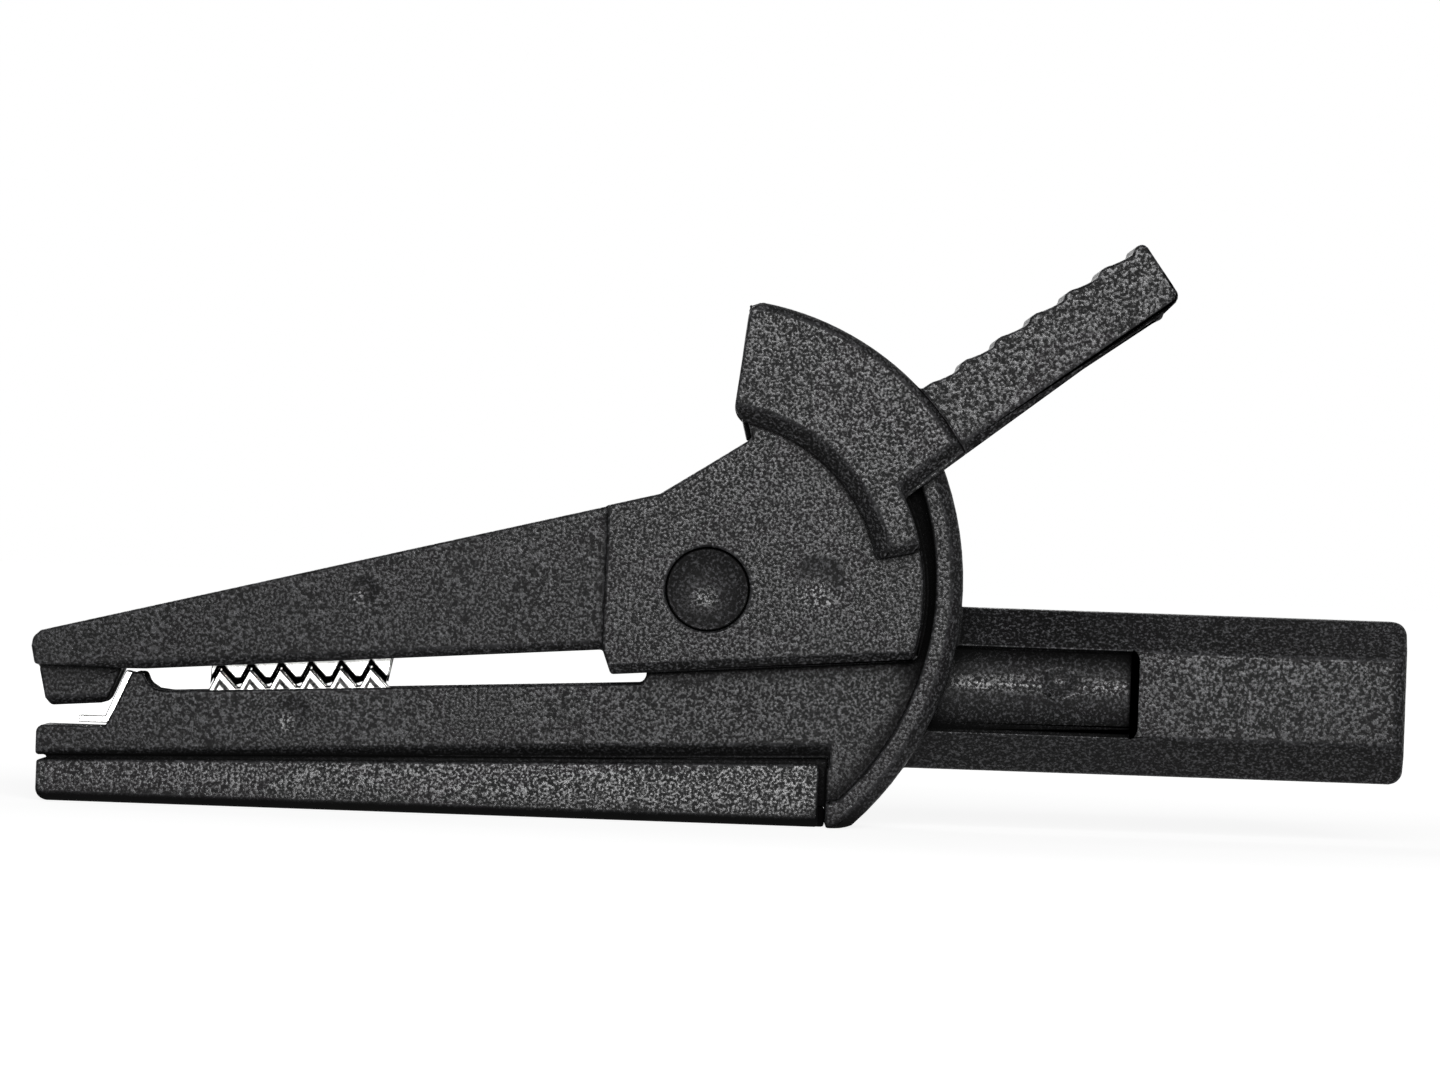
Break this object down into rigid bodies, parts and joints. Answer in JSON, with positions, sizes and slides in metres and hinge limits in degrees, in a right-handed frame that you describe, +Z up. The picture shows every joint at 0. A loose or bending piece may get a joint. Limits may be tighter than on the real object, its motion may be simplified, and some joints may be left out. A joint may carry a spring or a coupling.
{
  "type": "crocodile clip",
  "caption": "Insulated crocodile clip with toothed sprung metal jaws, a thumb lever on a drum-shaped pivot and a shrouded 4 mm plug socket in the handle.",
  "frame": {"origin": "middle of the bounding box on the underside, where the clip rests on its keel", "axes": "+X along the handle to the plug socket, +Y across the clip along the pivot, +Z up"},
  "size_m": [0.0912, 0.0168, 0.0392],
  "materials": {
    "housing_black": "spark-eroded matt black polyamide",
    "keel_black": "spark-eroded matt black polyamide",
    "upper_black": "spark-eroded matt black polyamide",
    "lever_black": "spark-eroded matt black polyamide",
    "insert_black": "smooth black polyamide",
    "cap_black": "matt black polyamide",
    "contact_nickel": "bright nickel-plated stamped steel",
    "socket_nickel": "nickel-plated turned brass",
    "rivet_nickel": "nickel-plated rivet",
    "axle_steel": "zinc-plated steel pin",
    "washer_steel": "zinc-plated steel",
    "spacer_nickel": "nickel-plated tube",
    "spring_steel": "bright spring steel wire"
  },
  "bodies": {
    "base": {"lower_housing": "housing_black", "jaw_keel": "keel_black", "lower_contact": "contact_nickel", "socket_tube": "socket_nickel", "socket_insert": "insert_black", "tongue_rivet": "rivet_nickel", "axle": "axle_steel", "axle_washers": "washer_steel", "axle_spacer": "spacer_nickel", "torsion_spring": "spring_steel"},
    "upper": {"upper_housing": "upper_black", "upper_contact": "contact_nickel", "thumb_lever": "lever_black", "pivot_cap_near": "cap_black", "pivot_cap_far": "cap_black"}
  },
  "joints": [
    {"name": "jaw_pivot", "type": "hinge", "parent": "base", "child": "upper", "pos_m": [-0.00093, 0, 0.0155], "axis": [0, 1, 0], "range_deg": [0, 26], "stiffness_Nm_per_rad": 0.05, "springref_deg": -28.65, "deforming": ["torsion_spring"]}
  ]
}
